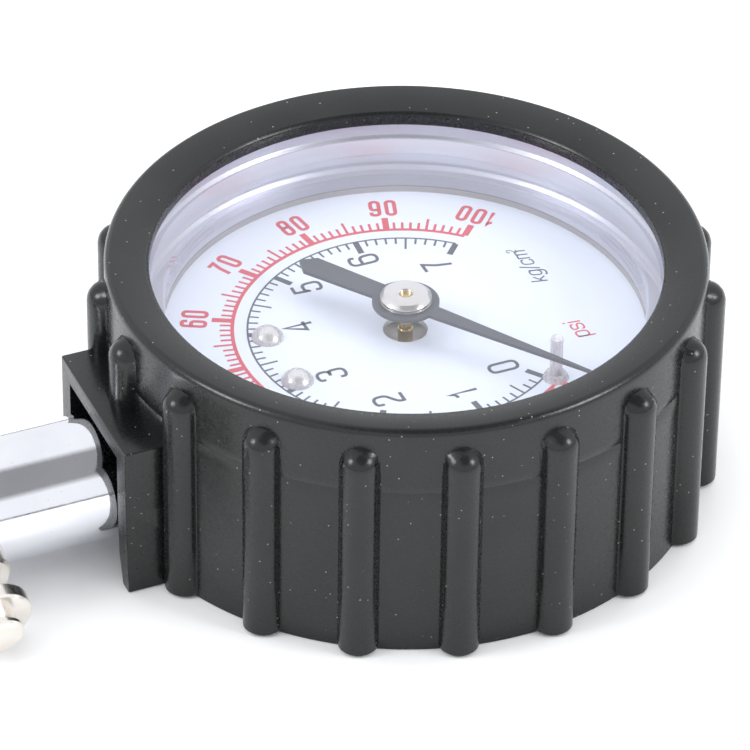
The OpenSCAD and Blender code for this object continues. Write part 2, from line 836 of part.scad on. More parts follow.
module chuck_body() {
    chamber_start = clip_at - 0.2;
    color([0.85, 0.86, 0.88])
    difference() {
        union() {
            along_stem(stem_end + nipple_flange + 0.3)
                rotate_extrude()
                    polygon([
                        [0, 0], [barrel_r - 0.5, 0], [barrel_r, 0.5],
                        [barrel_r, elbow_at - stem_end - nipple_flange - 0.3],
                        [0, elbow_at - stem_end - nipple_flange - 0.3]
                    ]);
            at_elbow() sphere(r = knuckle_r);
            along_head()
                rotate_extrude()
                    polygon([
                        [0, 0], [neck_r, 0], [neck_r, neck_end], [head_r - 0.5, neck_end],
                        [head_r, neck_end + 0.5], [head_r, head_length - 0.5],
                        [head_r - 0.5, head_length], [0, head_length]
                    ]);
        }
        along_stem(stem_end) cylinder(r = nipple_r + swivel_gap, h = chamber_start - stem_end + 1);
        along_stem(chamber_start) cylinder(r = 4.8, h = nipple_end + 0.5 - chamber_start);
        along_stem(nipple_end) cylinder(r = chuck_air_r, h = elbow_at - nipple_end);
        at_elbow() sphere(r = elbow_pocket_r);
        along_head() cylinder(r = chuck_air_r, h = head_length);
        along_head() translate([0, 0, head_bore_floor]) cylinder(r = head_bore_r, h = head_length);
    }
}

module depressor_pin() {
    color([0.75, 0.62, 0.35])
    along_head()
    difference() {
        union() {
            translate([0, 0, head_bore_floor + 0.1])
                cylinder(r = head_bore_r - gap, h = seal_back - head_bore_floor - 0.2);
            translate([0, 0, seal_back - 0.2]) cylinder(r = 1, h = seal_t + 0.1);
        }
        for (a = [0:90:270]) rotate([0, 0, a])
            translate([3.4, 0, head_bore_floor - 1]) cylinder(r = 1, h = seal_back);
        translate([0, 0, head_bore_floor - 1]) cylinder(r = 0.4, h = 2.5);
    }
}

module chuck_seal() {
    color([0.1, 0.1, 0.1])
    along_head() translate([0, 0, seal_back]) tube(head_bore_r - gap, seal_hole_r, seal_t - gap);
}

module chuck_nose() {
    color([0.82, 0.81, 0.78])
    along_head()
    difference() {
        union() {
            translate([0, 0, nose_back]) cylinder(r = head_bore_r - gap, h = nose_inset + eps);
            translate([0, 0, head_length])
                rotate_extrude()
                    polygon([
                        [0, 0], [nose_r, 0], [nose_r, nose_length - 0.6],
                        [nose_r - 0.6, nose_length], [0, nose_length]
                    ]);
        }
        translate([0, 0, nose_back - 1]) cylinder(r = mouth_r, h = nose_tip);
        for (i = [0:flute_count - 1]) rotate([0, 0, i * 360 / flute_count])
            translate([nose_r + 0.3, 0, head_length + 0.5]) cylinder(r = 0.6, h = nose_length);
    }
}

rubber_boot();
case_cup();
lens();
lens_gasket();
dial_plate();
dial_screws();
stop_pin();
socket_block();
sealing_washer();
bourdon_tube();
tube_tip_cap();
tip_pin();
movement_bottom_plate();
movement_top_plate();
movement_pillars();
plate_screws();
bottom_screws();
sector_gear();
sector_arbor();
sector_pin();
link();
pinion_arbor();
hairspring();
hairspring_collet();
hairspring_stud();
pointer();
pointer_hub();
stem_tube();
bleed_valve_body();
bleed_button();
bleed_plunger();
bleed_spring();
bleed_seal();
check_poppet();
check_spring();
swivel_nipple();
swivel_oring();
swivel_clip();
chuck_body();
chuck_seal();
chuck_nose();
depressor_pin();
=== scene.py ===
"""The tire pressure gauge's looks: finishes, detailed pieces, floor, lights and camera.

Metres throughout. The dial faces up along Z, its axis is the Z axis, and the stem runs along Y.
"""

import math

import bmesh
import bpy
from mathutils import Matrix, Vector


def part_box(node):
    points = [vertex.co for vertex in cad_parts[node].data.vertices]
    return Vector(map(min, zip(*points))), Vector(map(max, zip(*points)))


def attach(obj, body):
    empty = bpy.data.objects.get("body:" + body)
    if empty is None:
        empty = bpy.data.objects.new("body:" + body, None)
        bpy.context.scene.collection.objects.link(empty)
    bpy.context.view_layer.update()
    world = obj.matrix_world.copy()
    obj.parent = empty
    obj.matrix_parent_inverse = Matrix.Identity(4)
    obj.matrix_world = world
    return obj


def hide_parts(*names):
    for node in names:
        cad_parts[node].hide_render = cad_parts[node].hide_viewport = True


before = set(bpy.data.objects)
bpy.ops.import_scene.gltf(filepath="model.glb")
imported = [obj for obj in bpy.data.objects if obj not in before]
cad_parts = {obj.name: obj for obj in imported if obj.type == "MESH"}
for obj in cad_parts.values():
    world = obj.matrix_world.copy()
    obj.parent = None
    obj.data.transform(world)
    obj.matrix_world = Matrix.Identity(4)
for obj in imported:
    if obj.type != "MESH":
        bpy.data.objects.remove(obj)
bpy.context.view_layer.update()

SCENE = bpy.context.scene
MM = 0.001
TURN = 2 * math.pi

# ---------------------------------------------------------------- sizes shared with the CAD

BOOT_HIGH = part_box("rubber_boot")[1]
DIAL_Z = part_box("dial_plate")[1].z

# The boot's outside between its ribs, the opening inside its rim, the cavity that holds the case
# and the thickness of its back
BOOT_R = 28 * MM
RIM_R = 23.85 * MM
CAVITY_R = 25.9 * MM
BOOT_FLOOR = 1.8 * MM

# The rim: the underside of its lip, the fall from its top to its inner edge, its outer rounding
LIP_Z = 22.6 * MM
RIM_DIP = 0.8 * MM
SHOULDER_R = 0.8 * MM

# The parting line round the boot's wall
SEAM_Z = 17.9 * MM
SEAM_DEPTH = 0.05 * MM

# Grip ribs: their section's radius, how far they stand out, the taper at their foot, the fillet
# at their sides, and the angle of the first one, clockwise from the stem
RIB_COUNT = 19
RIB_R = 1.85 * MM
RIB_REACH = 1.7 * MM
RIB_FOOT = 0.3 * MM
RIB_FILLET = 0.28 * MM
RIB_PHASE = math.radians(-1.4)

# The square collar: half its width, where it starts inside the wall, and its sides' and roof's
# thickness
COLLAR_HALF = 8.3 * MM
COLLAR_START = 25.3 * MM
COLLAR_SIDE = 2.2 * MM
COLLAR_ROOF = 1.8 * MM


# ---------------------------------------------------------------- mesh helpers


def add_mesh(name, verts, faces, material):
    """A smooth-shaded mesh object with outward normals and no doubled points."""
    mesh = bpy.data.meshes.new(name)
    mesh.from_pydata(verts, [], faces)
    work = bmesh.new()
    work.from_mesh(mesh)
    bmesh.ops.remove_doubles(work, verts=work.verts, dist=1e-7)
    bmesh.ops.recalc_face_normals(work, faces=work.faces)
    work.to_mesh(mesh)
    work.free()
    shade(mesh, crease=35)
    mesh.materials.append(material)
    piece = bpy.data.objects.new(name, mesh)
    SCENE.collection.objects.link(piece)
    return piece


def shade(mesh, crease):
    """Smooth shading, but for edges sharper than crease degrees."""
    mesh.polygons.foreach_set("use_smooth", [True] * len(mesh.polygons))
    mesh.set_sharp_from_angle(angle=math.radians(crease))
    mesh.update()


def settle(piece, body, slot, *stands_for):
    """The piece rides on body and replaces the CAD nodes named. slot is not used."""
    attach(piece, body)
    if stands_for:
        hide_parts(*stands_for)


def soft_corner(before, corner, after, reach, most, steps):
    """Points of a curve that rounds a corner.

    It leaves each side reach away from the corner, or at the share most of the side's length if
    that is nearer.
    """
    back = before - corner
    on = after - corner
    start = corner + back.normalized() * min(reach, back.length * most)
    end = corner + on.normalized() * min(reach, on.length * most)
    shares = [i / steps for i in range(steps + 1)]
    return [start * (1 - t) ** 2 + corner * 2 * t * (1 - t) + end * t**2 for t in shares]


def rounded(points, radius):
    """The open outline with its inner corners rounded by short curves of about radius."""
    points = [Vector(p) for p in points]
    out = [points[0]]
    for before, corner, after in zip(points, points[1:], points[2:]):
        out += soft_corner(before, corner, after, radius, most=0.45, steps=3)
    out.append(points[-1])
    return [tuple(p) for p in out]


def revolve(profile, steps, closed=False, wave=None):
    """Vertices and faces of (radius, height) points turned about Z.

    wave(angle, radius, height) may change a point's radius. closed joins the last ring to the first.
    """
    verts = []
    rings = []
    for radius, height in profile:
        if radius < 1e-9:
            rings.append([len(verts)] * steps)
            verts.append((0, 0, height))
            continue
        rings.append(range(len(verts), len(verts) + steps))
        for i in range(steps):
            angle = TURN * i / steps
            r = wave(angle, radius, height) if wave else radius
            verts.append((r * math.cos(angle), r * math.sin(angle), height))
    if closed:
        rings.append(rings[0])
    return verts, bridge(rings, steps)


def bridge(rings, steps):
    """Quads between neighbouring rings, and triangles where a ring is a single point."""
    faces = []
    for low, high in zip(rings, rings[1:]):
        for i in range(steps):
            j = (i + 1) % steps
            corners = [low[i], low[j], high[j], high[i]]
            face = [c for k, c in enumerate(corners) if c != corners[k - 1]]
            if len(face) > 2:
                faces.append(face)
    return faces


def turned(name, profile, material, steps, bevel=0.0, wave=None):
    """A turned piece from an open profile that starts and ends on the axis."""
    points = rounded(profile, bevel) if bevel else profile
    return add_mesh(name, *revolve(points, steps, wave=wave), material)


def turned_ring(name, profile, material, steps, bevel):
    """A turned piece from a closed profile that stays off the axis."""
    points = rounded([profile[-1]] + profile + [profile[0]], bevel)[1:-1]
    return add_mesh(name, *revolve(points, steps, closed=True), material)


def combine(piece, tool, operation):
    """Applies one boolean of tool to piece and removes the tool."""
    change = piece.modifiers.new("combine", "BOOLEAN")
    change.object = tool
    change.operation = operation
    change.solver = "EXACT"
    result = piece.evaluated_get(bpy.context.evaluated_depsgraph_get())
    mesh = bpy.data.meshes.new_from_object(result)
    piece.modifiers.clear()
    piece.data = mesh
    bpy.data.objects.remove(tool)


def arc_points(centre, radius, start, end, steps):
    """Points on an arc in degrees, both ends included."""
    angles = [math.radians(start + (end - start) * i / steps) for i in range(steps + 1)]
    return [(centre[0] + radius * math.cos(a), centre[1] + radius * math.sin(a)) for a in angles]


# ---------------------------------------------------------------- finishes


def add_node(tree, kind, **settings):
    """A shader node; settings name its inputs with _ for a space, or its own properties."""
    made = tree.nodes.new(kind)
    for key, value in settings.items():
        socket = key.replace("_", " ")
        if socket in made.inputs:
            made.inputs[socket].default_value = value
        else:
            setattr(made, key, value)
    return made


def position(tree, stretch=(1, 1, 1)):
    """Object coordinates, scaled per axis so that a pattern can run along one of them."""
    place = add_node(tree, "ShaderNodeTexCoord")
    scale = add_node(tree, "ShaderNodeMapping")
    scale.inputs["Scale"].default_value = stretch
    tree.links.new(place.outputs["Object"], scale.inputs["Vector"])
    return scale.outputs["Vector"]


def noise(tree, per_mm, stretch=(1, 1, 1)):
    """Soft noise, with about per_mm waves in a millimetre."""
    texture = add_node(tree, "ShaderNodeTexNoise", Scale=per_mm / MM, Detail=3)
    tree.links.new(position(tree, stretch), texture.inputs["Vector"])
    return texture.outputs["Fac"]


def spread(tree, value, low, high, start=0.3, end=0.7):
    """value from start to end becomes a number from low to high."""
    span = add_node(tree, "ShaderNodeMapRange", From_Min=start, From_Max=end, To_Min=low, To_Max=high)
    tree.links.new(value, span.inputs["Value"])
    return span.outputs["Result"]


def blend_colours(tree, share, first, second):
    """first where share is 0 and second where it is 1. Either may be a colour or a socket."""
    mix = add_node(tree, "ShaderNodeMix", data_type="RGBA")
    tree.links.new(share, mix.inputs["Factor"])
    for socket, colour in ((mix.inputs[6], first), (mix.inputs[7], second)):
        if isinstance(colour, tuple):
            socket.default_value = (*colour, 1)
        else:
            tree.links.new(colour, socket)
    return mix.outputs[2]


def speckle(tree, per_mm, size):
    """1 inside small soft-edged dots, of which half show. size is a dot's radius against their spacing."""
    cells = add_node(tree, "ShaderNodeTexVoronoi", Scale=per_mm / MM)
    tree.links.new(position(tree), cells.inputs["Vector"])
    dot = spread(tree, cells.outputs["Distance"], 1, 0, size * 0.6, size)
    chosen = spread(tree, cells.outputs["Color"], 0, 1, 0.5, 0.52)
    both = add_node(tree, "ShaderNodeMath", operation="MULTIPLY")
    tree.links.new(dot, both.inputs[0])
    tree.links.new(chosen, both.inputs[1])
    return both.outputs[0]


def bump(tree, shader, height, depth):
    """Raises the surface by depth metres where height is 1."""
    relief = add_node(tree, "ShaderNodeBump", Strength=1.0, Distance=depth)
    tree.links.new(height, relief.inputs["Height"])
    tree.links.new(relief.outputs["Normal"], shader.inputs["Normal"])


def finish(name, colour, tint, rough, grain=1.5, patches=0.12, relief=0.004, stretch=(1, 1, 1),
           specks=None, speck_colour=None, see_through=None, **sockets):
    """A procedural finish.

    The colour drifts towards tint in patches. Roughness runs over the pair rough with a fine
    grain, which also lifts the surface by relief millimetres. specks is (dots per mm, size), and
    see_through the lowest and highest alpha. What is left sets the shader's own sockets.
    """
    material = bpy.data.materials.new(name)
    material.use_nodes = True
    tree = material.node_tree
    shader = tree.nodes["Principled BSDF"]
    for key, value in sockets.items():
        shader.inputs[key.replace("_", " ")].default_value = value
    shown = blend_colours(tree, spread(tree, noise(tree, patches, stretch=stretch), 0, 1), colour, tint)
    fine = noise(tree, grain, stretch=stretch)
    gloss = spread(tree, fine, *rough)
    if specks:
        dots = speckle(tree, *specks)
        shown = blend_colours(tree, dots, shown, speck_colour)
    tree.links.new(shown, shader.inputs["Base Color"])
    tree.links.new(gloss, shader.inputs["Roughness"])
    if see_through:
        tree.links.new(spread(tree, noise(tree, patches * 2, stretch=stretch), *see_through),
                       shader.inputs["Alpha"])
    bump(tree, shader, fine, relief * MM)
    return material


def clear_plastic(name, tint, ior, rough):
    """A clear moulding: it shows what is behind it unbent, and its outer faces mirror the room."""
    material = bpy.data.materials.new(name)
    material.use_nodes = True
    tree = material.node_tree
    tree.nodes.remove(tree.nodes["Principled BSDF"])
    through = add_node(tree, "ShaderNodeBsdfTransparent", Color=(*tint, 1))
    mirror = add_node(tree, "ShaderNodeBsdfGlossy", Color=(1, 1, 1, 1))
    angle = add_node(tree, "ShaderNodeFresnel", IOR=ior)
    side = add_node(tree, "ShaderNodeNewGeometry")
    share = add_node(tree, "ShaderNodeMix", B=0.0)
    mix = add_node(tree, "ShaderNodeMixShader")
    tree.links.new(spread(tree, noise(tree, 0.8), *rough), mirror.inputs["Roughness"])
    tree.links.new(side.outputs["Backfacing"], share.inputs["Factor"])
    tree.links.new(angle.outputs["Fac"], share.inputs["A"])
    tree.links.new(share.outputs["Result"], mix.inputs["Fac"])
    tree.links.new(through.outputs["BSDF"], mix.inputs[1])
    tree.links.new(mirror.outputs["BSDF"], mix.inputs[2])
    tree.links.new(mix.outputs["Shader"], tree.nodes["Material Output"].inputs["Surface"])
    return material


RUBBER = finish("rubber", (0.0028, 0.0034, 0.0036), (0.008, 0.0088, 0.009), (0.17, 0.31), grain=3,
                relief=0.003, specks=(1.1, 0.10), speck_colour=(0.22, 0.22, 0.21),
                Specular_IOR_Level=0.48)
SATIN = finish("satin_nickel", (0.84, 0.82, 0.79), (0.76, 0.73, 0.70), (0.20, 0.30), grain=2,
               relief=0.0004, Metallic=0.7)
BRIGHT_PLATE = finish("bright_plate", (0.90, 0.88, 0.84), (0.82, 0.80, 0.76), (0.30, 0.42), grain=2,
                      relief=0.0004, Metallic=0.15)
CHROME = finish("chrome", (0.83, 0.84, 0.88), (0.74, 0.75, 0.80), (0.04, 0.12), grain=2.2,
                relief=0.002, specks=(1.4, 0.06), speck_colour=(0.25, 0.25, 0.26), Metallic=1.0)
NICKEL = finish("nickel", (0.86, 0.83, 0.79), (0.76, 0.72, 0.67), (0.14, 0.26), grain=3,
                relief=0.001, stretch=(1, 1, 6), Metallic=1.0)
BRASS = finish("brass", (0.72, 0.55, 0.27), (0.62, 0.45, 0.20), (0.18, 0.30), grain=4,
               relief=0.002, stretch=(1, 1, 6), Metallic=1.0)
BRONZE = finish("bronze", (0.66, 0.46, 0.27), (0.55, 0.36, 0.20), (0.22, 0.36), grain=4,
                relief=0.003, Metallic=1.0)
STEEL = finish("steel", (0.60, 0.60, 0.64), (0.52, 0.52, 0.57), (0.24, 0.38), grain=3,
               relief=0.003, stretch=(1, 1, 6), Metallic=1.0)
SPRING_STEEL = finish("spring_steel", (0.42, 0.44, 0.52), (0.34, 0.36, 0.44), (0.16, 0.26), grain=5,
                      relief=0.001, Metallic=1.0)
DIAL_WHITE = finish("dial_white", (0.84, 0.88, 0.95), (0.80, 0.85, 0.93), (0.32, 0.40), grain=3,
                    relief=0.001, Specular_IOR_Level=0.4)
RED_INK = finish("red_ink", (0.72, 0.09, 0.12), (0.66, 0.07, 0.10), (0.38, 0.50), grain=8,
                 relief=0.001)
GREY_INK = finish("grey_ink", (0.075, 0.080, 0.105), (0.095, 0.100, 0.13), (0.38, 0.50), grain=8,
                  relief=0.001)
SLATE = finish("slate_paint", (0.065, 0.072, 0.090), (0.085, 0.092, 0.11), (0.34, 0.46), grain=7,
               relief=0.002, specks=(1.6, 0.07), speck_colour=(0.5, 0.5, 0.5))
GREY_SEAL = finish("grey_seal", (0.42, 0.40, 0.41), (0.34, 0.32, 0.33), (0.45, 0.6), grain=6,
                   relief=0.004)
BLACK_SEAL = finish("black_seal", (0.014, 0.014, 0.015), (0.022, 0.022, 0.023), (0.35, 0.5), grain=6,
                    relief=0.003)
FIBRE = finish("fibre", (0.30, 0.09, 0.05), (0.22, 0.06, 0.035), (0.6, 0.8), grain=5,
               relief=0.01, stretch=(1, 1, 4))
CLEAR = clear_plastic("clear_plastic", (0.95, 0.955, 0.975), 1.85, (0.015, 0.05))
LENS_EDGE = finish("lens_edge", (0.76, 0.76, 0.81), (0.60, 0.60, 0.66), (0.28, 0.40), grain=0.5,
                   relief=0.002, stretch=(0.3, 0.3, 3), Metallic=0.75)
CLOUDY = finish("cloudy_plastic", (0.90, 0.88, 0.88), (0.70, 0.66, 0.68), (0.10, 0.25), grain=2.5,
                patches=1.6, relief=0.01, stretch=(1, 1, 0.3), see_through=(0.35, 0.85))


# ---------------------------------------------------------------- rubber boot


def soft_max(a, b, width):
    """The larger of a and b, with a fillet of about width where they cross."""
    lap = max(width - abs(a - b), 0)
    return max(a, b) + lap * lap / (4 * width)


def rib_radius(offset, height):
    """How far a grip rib reaches from the axis at offset radians from its middle, or 0."""
    centre = BOOT_R + RIB_REACH - RIB_R
    into_dome = max(height - LIP_Z + RIB_R, 0)
    if into_dome >= RIB_R:
        return 0
    section = math.sqrt(RIB_R**2 - into_dome**2) - max(RIB_FOOT - height, 0)
    side = centre * math.sin(offset)
    if abs(side) >= section:
        return 0
    return centre * math.cos(offset) + math.sqrt(section**2 - side**2)


def back_outline():
    """(radius, height) points of the boot's back, with its shallow ring groove."""
    inner = 19 * MM
    outer = 21 * MM
    depth = 0.4 * MM
    corners = [(0, 0), (inner, 0), (inner, depth), (outer, depth), (outer, 0), (BOOT_R - 2.5 * MM, 0)]
    return rounded(corners, 0.15 * MM)


def wall_outline():
    """(radius, height) points up the boot's wall, closest together where a rib's shape changes."""
    below = [0, 0.12 * MM, 0.3 * MM, 0.6 * MM, 1.2 * MM]
    below += [(2.4 + 1.25 * i) * MM for i in range(12)]
    above = [18.8 * MM, 19.8 * MM]
    above += [LIP_Z - RIB_R + RIB_R * math.sin(math.radians(10 * i)) for i in range(9)]
    above += [LIP_Z + 0.02 * MM, LIP_Z + 0.7 * MM]
    groove = [(BOOT_R, SEAM_Z - 0.15 * MM), (BOOT_R - SEAM_DEPTH, SEAM_Z - 0.04 * MM),
              (BOOT_R - SEAM_DEPTH, SEAM_Z + 0.04 * MM), (BOOT_R, SEAM_Z + 0.15 * MM)]
    return [(BOOT_R, z) for z in below] + groove + [(BOOT_R, z) for z in above]


def rim_outline():
    """(radius, height) points over the boot's rim and down to the underside of its lip."""
    top = BOOT_HIGH.z
    edge = 0.3 * MM
    shoulder = arc_points((BOOT_R - SHOULDER_R, top - SHOULDER_R), SHOULDER_R, 0, 80, 8)
    lip = [shoulder[-1], (RIM_R + edge, top - RIM_DIP), (RIM_R, top - RIM_DIP - edge), (RIM_R, LIP_Z),
           (CAVITY_R, LIP_Z)]
    return shoulder + rounded(lip, 0.12 * MM)[1:]


def boot_columns():
    """(offset from the nearest rib's middle, angle round the boot) of each column of points.

    The columns are closest together at the ribs' sides, 3.8 degrees from their middles.
    """
    half = [1.0, 1.9, 2.6, 3.05, 3.35, 3.55, 3.68, 3.78, 3.9, 4.1, 5.0, 7.0]
    pitch = 360 / RIB_COUNT
    offsets = [-pitch / 2] + [-h for h in reversed(half)] + [0.0] + half
    return [(math.radians(o), math.radians(pitch * i + o)) for i in range(RIB_COUNT) for o in offsets]


def boot_shell():
    """Vertices and faces of the round boot with its ribs."""
    columns = boot_columns()
    inside = [(CAVITY_R, BOOT_FLOOR), (0, BOOT_FLOOR)]
    loop = [(point, False) for point in back_outline()]
    loop += [(point, True) for point in wall_outline()]
    loop += [(point, False) for point in rim_outline() + inside]
    verts = []
    rings = []
    for (radius, height), ribbed in loop:
        if radius == 0:
            rings.append([len(verts)] * len(columns))
            verts.append((0, 0, height))
            continue
        rings.append(range(len(verts), len(verts) + len(columns)))
        for offset, around in columns:
            r = soft_max(radius, rib_radius(offset, height), RIB_FILLET) if ribbed else radius
            angle = math.pi / 2 - around - RIB_PHASE
            verts.append((r * math.cos(angle), r * math.sin(angle), height))
    return verts, bridge(rings, len(columns))


def mirrored(half):
    """A closed (x, z) outline from its right half, given from the bottom up."""
    return half + [(-x, z) for x, z in reversed(half)]


def extrude_outline(outline, start, end, name):
    """A closed prism from an (x, z) outline, between two values of y."""
    count = len(outline)
    verts = [(x, y, z) for y in (start, end) for x, z in outline]
    faces = [list(range(count)), list(range(2 * count - 1, count - 1, -1))]
    faces += [[i, i + count, (i + 1) % count + count, (i + 1) % count] for i in range(count)]
    return add_mesh(name, verts, faces, RUBBER)


def bevel_edges(piece, width, wanted):
    """Rounds the edges for which wanted(middle point) is true."""
    work = bmesh.new()
    work.from_mesh(piece.data)
    edges = [e for e in work.edges if wanted((e.verts[0].co + e.verts[1].co) / 2)]
    bmesh.ops.bevel(work, geom=edges, offset=width, segments=3, profile=0.5, affect="EDGES")
    work.to_mesh(piece.data)
    work.free()


def make_collar(slot_half, slot_top):
    """The square collar with the stem's slot through it. The sides of both lean out at the foot."""
    top = DIAL_Z
    end = BOOT_HIGH.y
    base = 0.02 * MM
    flare = 0.25 * MM
    upright = 9 * MM
    skin = 0.1 * MM
    outline = mirrored([(COLLAR_HALF + flare, base), (COLLAR_HALF, upright), (COLLAR_HALF, top)])
    collar = extrude_outline(outline, COLLAR_START, end, "collar")
    bevel_edges(collar, 0.2 * MM, lambda p: p.z > top - skin or (p.z > upright + skin and p.y > end - skin))
    slot = mirrored([(slot_half + 1.3 * MM, -MM), (slot_half + 0.2 * MM, 3 * MM),
                     (slot_half, 7 * MM), (slot_half, slot_top)])
    combine(collar, extrude_outline(slot, 20 * MM, 40 * MM, "slot"), "DIFFERENCE")
    return collar


def make_boot():
    """The boot's body with its ribs, opened for the stem and joined to the square collar."""
    boot = add_mesh("boot", *boot_shell(), RUBBER)
    slot_half = COLLAR_HALF - COLLAR_SIDE
    slot_top = DIAL_Z - COLLAR_ROOF
    spare = 0.6 * MM
    opening = mirrored([(slot_half + spare, -MM), (slot_half + spare, slot_top + spare)])
    combine(boot, extrude_outline(opening, 23 * MM, 30 * MM, "opening"), "DIFFERENCE")
    combine(boot, make_collar(slot_half, slot_top), "UNION")
    shade(boot.data, crease=38)
    settle(boot, "gauge", "boot_rubber", "rubber_boot")


# ---------------------------------------------------------------- lens


def make_lens():
    """The clear cup: flat top, a serrated outer edge and a skirt with moulded rings inside."""
    box_low, box_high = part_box("lens")
    low = box_low.z
    top = box_high.z
    edge = box_high.x
    under = top - 2 * MM
    inner = 22.6 * MM
    outer = 24.6 * MM
    ring_pitch = 0.6 * MM
    ring_height = 0.22 * MM
    ring_count = 4
    foot = low + 0.7 * MM
    rings = []
    for i in range(ring_count):
        rings += [(inner, foot + i * ring_pitch), (inner - ring_height, foot + (i + 0.5) * ring_pitch)]
    profile = [(0, under), (inner - 0.5 * MM, under), (inner, under - 0.5 * MM)]
    profile += list(reversed(rings))
    profile += [(inner, low), (outer, low), (outer, low + 0.6 * MM), (edge, low + MM),
                (outer, low + 1.5 * MM), (outer, under), (edge, under + 0.3 * MM),
                (edge, top - 0.5 * MM), (edge - 0.5 * MM, top), (0, top)]
    teeth = 180
    tooth = 0.07 * MM

    def serrate(angle, radius, height):
        between_teeth = round(angle / TURN * teeth * 2) % 2
        return radius - tooth if between_teeth and height > under and radius > outer else radius

    lens = turned("clear_lens", profile, CLEAR, steps=teeth * 2, bevel=0.1 * MM, wave=serrate)
    lens.data.materials.append(LENS_EDGE)
    edge_from = 23.5 * MM
    for face in lens.data.polygons:
        if face.center.xy.length > edge_from:
            face.material_index = 1
    settle(lens, "gauge", "clear_plastic", "lens")


# ---------------------------------------------------------------- dial print

INK_T = 0.02 * MM

# Angles clockwise from the stem: a psi, a kilogram per square centimetre, the metric scale's true
# zero, and the mark that both scales start from
PSI_STEP = math.radians(2.674)
METRIC_STEP = math.radians(38.05)
METRIC_ZERO = math.radians(-133.9)
ZERO_MARK = math.radians(-127.2)

# How a number or a unit is drawn: a glyph's half width, the gap between two glyphs and the
# stroke's width, as shares of its height
RED_STYLE = (0.15, 0.14, 0.145)
GREY_STYLE = (0.2, 0.12, 0.105)
UNIT_STYLE = (0.22, 0.1, 0.09)


def clock(angle, radius):
    """A point on the dial at angle clockwise from the stem."""
    return Vector((radius * math.sin(angle), radius * math.cos(angle)))


class Print:
    """Collects flat printed shapes and turns them into one thin raised mesh."""

    def __init__(self):
        self.verts = []
        self.faces = []

    def prism(self, outline):
        """A raised area inside an outline that doesn't cross itself."""
        start = len(self.verts)
        count = len(outline)
        for z in (DIAL_Z, DIAL_Z + INK_T):
            self.verts += [(x, y, z) for x, y in outline]
        self.faces.append([start + i for i in reversed(range(count))])
        self.faces.append([start + count + i for i in range(count)])
        for i in range(count):
            j = (i + 1) % count
            self.faces.append([start + i, start + j, start + count + j, start + count + i])

    def bar(self, angle, inner, outer, width):
        """A radial tick."""
        side = clock(angle + math.pi / 2, width / 2)
        low = clock(angle, inner)
        high = clock(angle, outer)
        self.prism([low - side, low + side, high + side, high - side])

    def band(self, start, end, inner, outer, steps):
        """An arc from start to end."""
        angles = [start + (end - start) * i / steps for i in range(steps + 1)]
        rim = [clock(a, outer) for a in angles]
        self.prism(rim + [clock(a, inner) for a in reversed(angles)])

    def ribbon(self, points, width, closed=False):
        """A stroke of this width along points, with mitred corners."""
        count = len(points)
        left = []
        right = []
        for i, here in enumerate(points):
            before = points[i - 1] if closed or i > 0 else here
            after = points[(i + 1) % count] if closed or i < count - 1 else here
            into = (here - before).normalized() if before is not here else None
            out = (after - here).normalized() if after is not here else into
            into = into or out
            across = Vector((-into.y - out.y, into.x + out.x)).normalized()
            stretch = max(across.dot(Vector((-out.y, out.x))), 0.55)
            left.append(here + across * width / 2 / stretch)
            right.append(here - across * width / 2 / stretch)
        start = len(self.verts)
        for z in (DIAL_Z, DIAL_Z + INK_T):
            self.verts += [(x, y, z) for pair in zip(left, right) for x, y in pair]
        top = 2 * count
        for i in range(count if closed else count - 1):
            j = (i + 1) % count
            a, b, c, d = (start + k for k in (2 * i, 2 * j, 2 * j + 1, 2 * i + 1))
            self.faces += [[a, b, c, d], [d + top, c + top, b + top, a + top],
                           [a, a + top, b + top, b], [d, c, c + top, d + top]]
        if not closed:
            for i in (0, count - 1):
                a = start + 2 * i
                self.faces.append([a, a + 1, a + 1 + top, a + top])

    def write(self, text, centre, height, style, turn=0.0, slant=0.0):
        """A line of text about centre, turned clockwise by turn."""
        half, gap, stroke = (height * share for share in style)
        pen = 0
        starts = []
        for letter in text:
            reach = [x for _, *corners in GLYPHS[letter] for x, _, _ in corners]
            starts.append(pen + stroke / 2 - min(reach) * half)
            pen = starts[-1] + max(reach) * half + stroke / 2 + gap
        middle = (pen - gap) / 2
        tilt = Matrix.Rotation(-turn, 2)
        for letter, start in zip(text, starts):
            for closed, *corners in GLYPHS[letter]:
                points = soften_glyph(corners, half, height - stroke)
                line = [centre + tilt @ Vector((start - middle + x + slant * y, y)) for x, y in points]
                self.ribbon(line, stroke, closed)

    def make(self, name, material):
        """Puts the print on the dial."""
        piece = add_mesh(name, self.verts, self.faces, material)
        settle(piece, "gauge", "dial_white")


